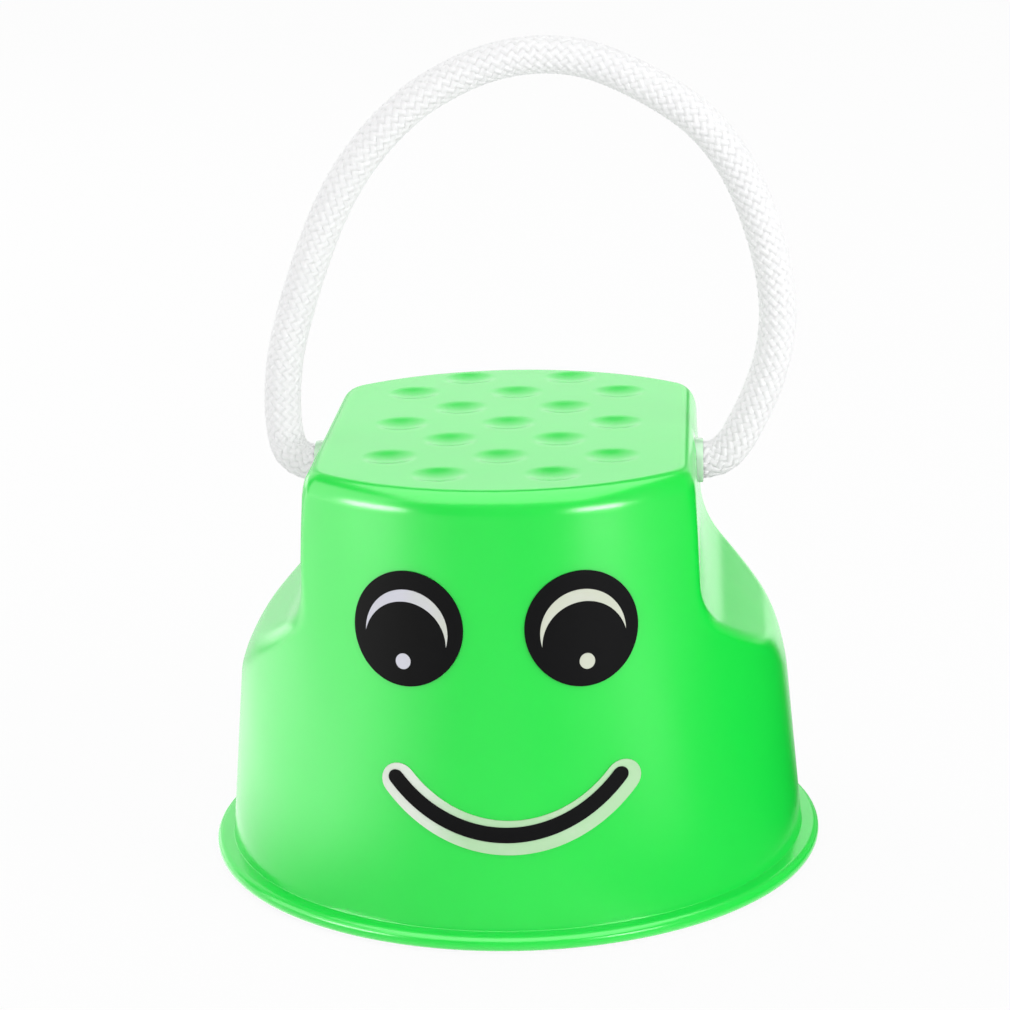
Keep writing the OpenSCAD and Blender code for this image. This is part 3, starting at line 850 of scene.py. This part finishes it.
def sheen_level(nodes, place):
    """How bright the floor is in the plastic's sheen, so that the cup's wall shows what it shows in the
    photograph: bright on the left, and darker from the face to the right but for one paler panel."""

    def between(value, start, end, low=0.0, high=1.0):
        """A ramp over places on the floor, in metres, or over angles."""
        return ramp(nodes, value, start, end, low, high)

    parts = nodes.add("ShaderNodeSeparateXYZ", place)
    across, along = parts.outputs[0], parts.outputs[1]
    # The angle to the right of the face, round the cup, and the distance from the cup's middle
    turned = nodes.sums("ARCTAN2", across, nodes.sums("MULTIPLY", along, -1.0))
    away = nodes.sums("ADD", nodes.sums("POWER", across, 2.0), nodes.sums("POWER", along, 2.0))
    away = nodes.sums("SQRT", away)
    # The floor at large: it ends to the right of the cup, with a paler field far behind on the right
    behind = nodes.sums("MAXIMUM", along, 0.0)
    past = nodes.sums("ADD", across, nodes.sums("MULTIPLY", behind, -0.45))
    far_right = nodes.sums("MULTIPLY", between(across, 0.03, 0.06, 0.0, 0.35), between(along, 0.12, 0.18))
    level = nodes.sums("MULTIPLY", between(past, 0.035, 0.06, 1.0, 0.0), nodes.sums("ADD", far_right, 1.0))
    level = nodes.sums("MAXIMUM", level, between(along, 0.0, -0.15, 0.0, 0.75))
    # The bright panel that the left side shows
    before = between(nodes.sums("ADD", along, nodes.sums("MULTIPLY", across, 0.6)), -0.15, 0.06, 1.0, 0.0)
    left_panel = nodes.sums("MULTIPLY", before,
        between(turned, -0.3, -1.05), between(away, 0.24, 0.34, 1.0, 0.78),
        between(across, -0.05, -0.115, 0.0, 2.85))
    # The paler panel that the right side shows
    right_panel = nodes.sums("MULTIPLY",
        between(turned, 0.65, 0.85), between(turned, 1.0, 1.2, 1.0, 0.0),
        between(away, 0.1, 0.2), between(away, 0.35, 0.7, 1.0, 0.2))
    by_the_foot = between(away, 0.0635, 0.069, 1.0, 0.0)
    return nodes.sums("ADD", level, by_the_foot, left_panel, right_panel)


def white_paper():
    """Matt paper: nearly white with a faint shadow to the camera, and lit by panels in the sheen."""
    made, nodes, shader = material("paper_white")
    tone, _ = grain(nodes, scale=30.0, detail=2.0)
    nodes.fill(shader, {
        "Base Color": nodes.blend(tone, PAPER, PAPER_LIGHT), "Roughness": 0.9, "Specular IOR Level": 0.0,
    })
    ray = nodes.add("ShaderNodeLightPath").outputs
    seen = nodes.sums("MAXIMUM", ray["Is Camera Ray"], ray["Is Transmission Ray"])
    own_white = nodes.sums("MULTIPLY", seen, PAPER_OWN_WHITE)
    place = nodes.add("ShaderNodeTexCoord").outputs["Object"]
    # Seen from below, the floor isn't there
    below = nodes.sums("MULTIPLY", ray["Is Camera Ray"],
        nodes.add("ShaderNodeNewGeometry").outputs["Backfacing"])
    mixed = shader
    for share, other in (
        (own_white, nodes.add("ShaderNodeEmission", (1, 1, 1, 1), 1.0)),
        (ray["Is Glossy Ray"], nodes.add("ShaderNodeEmission", (1, 1, 1, 1), sheen_level(nodes, place))),
        (below, nodes.add("ShaderNodeBsdfTransparent")),
    ):
        mixed = nodes.add("ShaderNodeMixShader", share, mixed, other)
    nodes.fill(nodes.tree.nodes["Material Output"], {0: mixed})
    return made


floor_mesh = bpy.data.meshes.new("floor")
floor_mesh.from_pydata([(x * FLOOR_HALF, y * FLOOR_HALF, FLOOR_Z)
    for x, y in ((-1, -1), (1, -1), (1, 1), (-1, 1))], [], [(0, 1, 2, 3)])
floor_mesh.materials.append(white_paper())
floor = new_object("floor", floor_mesh)

world = bpy.data.worlds.new("studio")
bpy.context.scene.world = world
world.use_nodes = True
nodes = Tree(world.node_tree)
ray = nodes.add("ShaderNodeLightPath").outputs
unseen = nodes.sums("SUBTRACT", SKY_LEVEL, nodes.sums("MULTIPLY", ray["Is Glossy Ray"], SKY_SHEEN_DROP))
nodes.fill(world.node_tree.nodes["Background"], {
    "Color": (1, 1, 1, 1), "Strength": ramp(nodes, ray["Is Camera Ray"], 0.0, 1.0, unseen, 1.0),
})


def lamp(name, place, size, radiance, sheen=True):
    """A soft box that faces the cup; it gives either the plastic's sheen or plain light."""
    data = bpy.data.lights.new(name, "AREA")
    data.shape, data.size, data.size_y = "RECTANGLE", *size
    data.energy = radiance * math.pi * size[0] * size[1]
    made = bpy.data.objects.new(name, data)
    made.location = place
    made.rotation_mode = "QUATERNION"
    made.rotation_quaternion = (LAMP_AIM - Vector(place)).to_track_quat("-Z", "Y")
    made.visible_camera = False
    made.visible_diffuse, made.visible_glossy = not sheen, sheen
    bpy.context.scene.collection.objects.link(made)


# What the tread, the rear and the left side show, and low in front the glints under the rim
lamp("back_box", (-0.45, 1.2, 0.57), (1.9, 0.88), 1.17)
lamp("low_box_right", (0.72, 1.32, 0.02), (0.8, 0.1), 0.95)
lamp("low_box_left", (-1.1, 0.95, 0.08), (1.0, 0.3), 2.2)
lamp("top_box", (0, -0.3, 1.1), (1.8, 1.7), 4)
lamp("left_box", (-1.16, -0.31, 0.42), (1.2, 0.84), 3)
lamp("front_box_left", (-0.86, -0.58, 0.16), (0.5, 0.14), 25)
lamp("front_box_right", (0.73, -0.82, 0.16), (0.38, 0.14), 30)
# Plain light for the rope, the face and the shaded sides
lamp("key_box", (0.1, -1.3, 0.5), (0.7, 0.7), 1.1, sheen=False)
lamp("rear_box", (-0.9, 0.7, 0.75), (0.7, 0.7), 1.7, sheen=False)
lamp("fill_box", (1.15, -0.65, 0.42), (0.7, 0.7), 2.9, sheen=False)
bpy.context.scene.view_settings.view_transform = "Standard"
